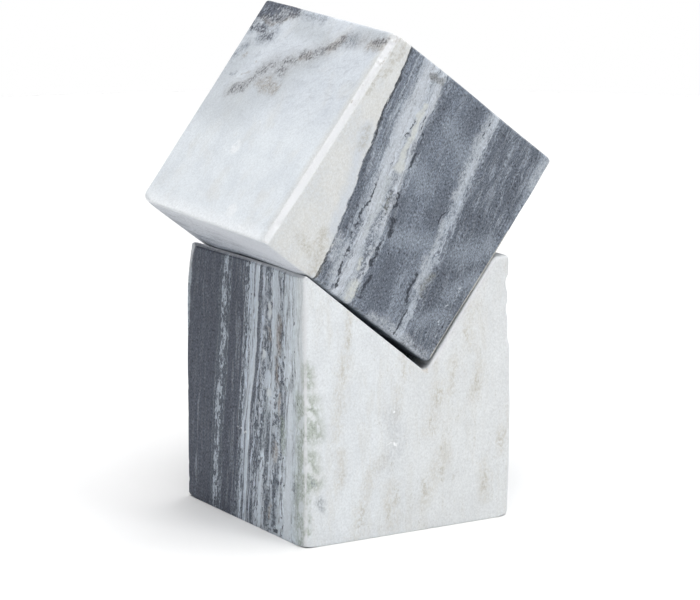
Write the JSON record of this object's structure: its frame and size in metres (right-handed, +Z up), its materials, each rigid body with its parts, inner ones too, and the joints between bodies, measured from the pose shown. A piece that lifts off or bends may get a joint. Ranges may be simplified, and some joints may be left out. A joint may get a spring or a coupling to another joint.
{
  "type": "marble cube on a notched marble block",
  "caption": "Tilted banded marble cube resting in a V-shaped notch sawn into the top of an upright marble block, a free-standing decorative stone.",
  "frame": {"origin": "centre of the lower block's flat base, on the surface that the object stands on", "axes": "+Z up, +X to the right along the block's front face, +Y from its front face to its back face"},
  "size_m": [0.1365, 0.104, 0.2083],
  "materials": {
    "white_banded_marble": "honed, matte",
    "grey_banded_marble": "honed, matte"
  },
  "bodies": {
    "root": {"notched_block": "white_banded_marble", "tilted_cube": "grey_banded_marble"}
  },
  "joints": []
}
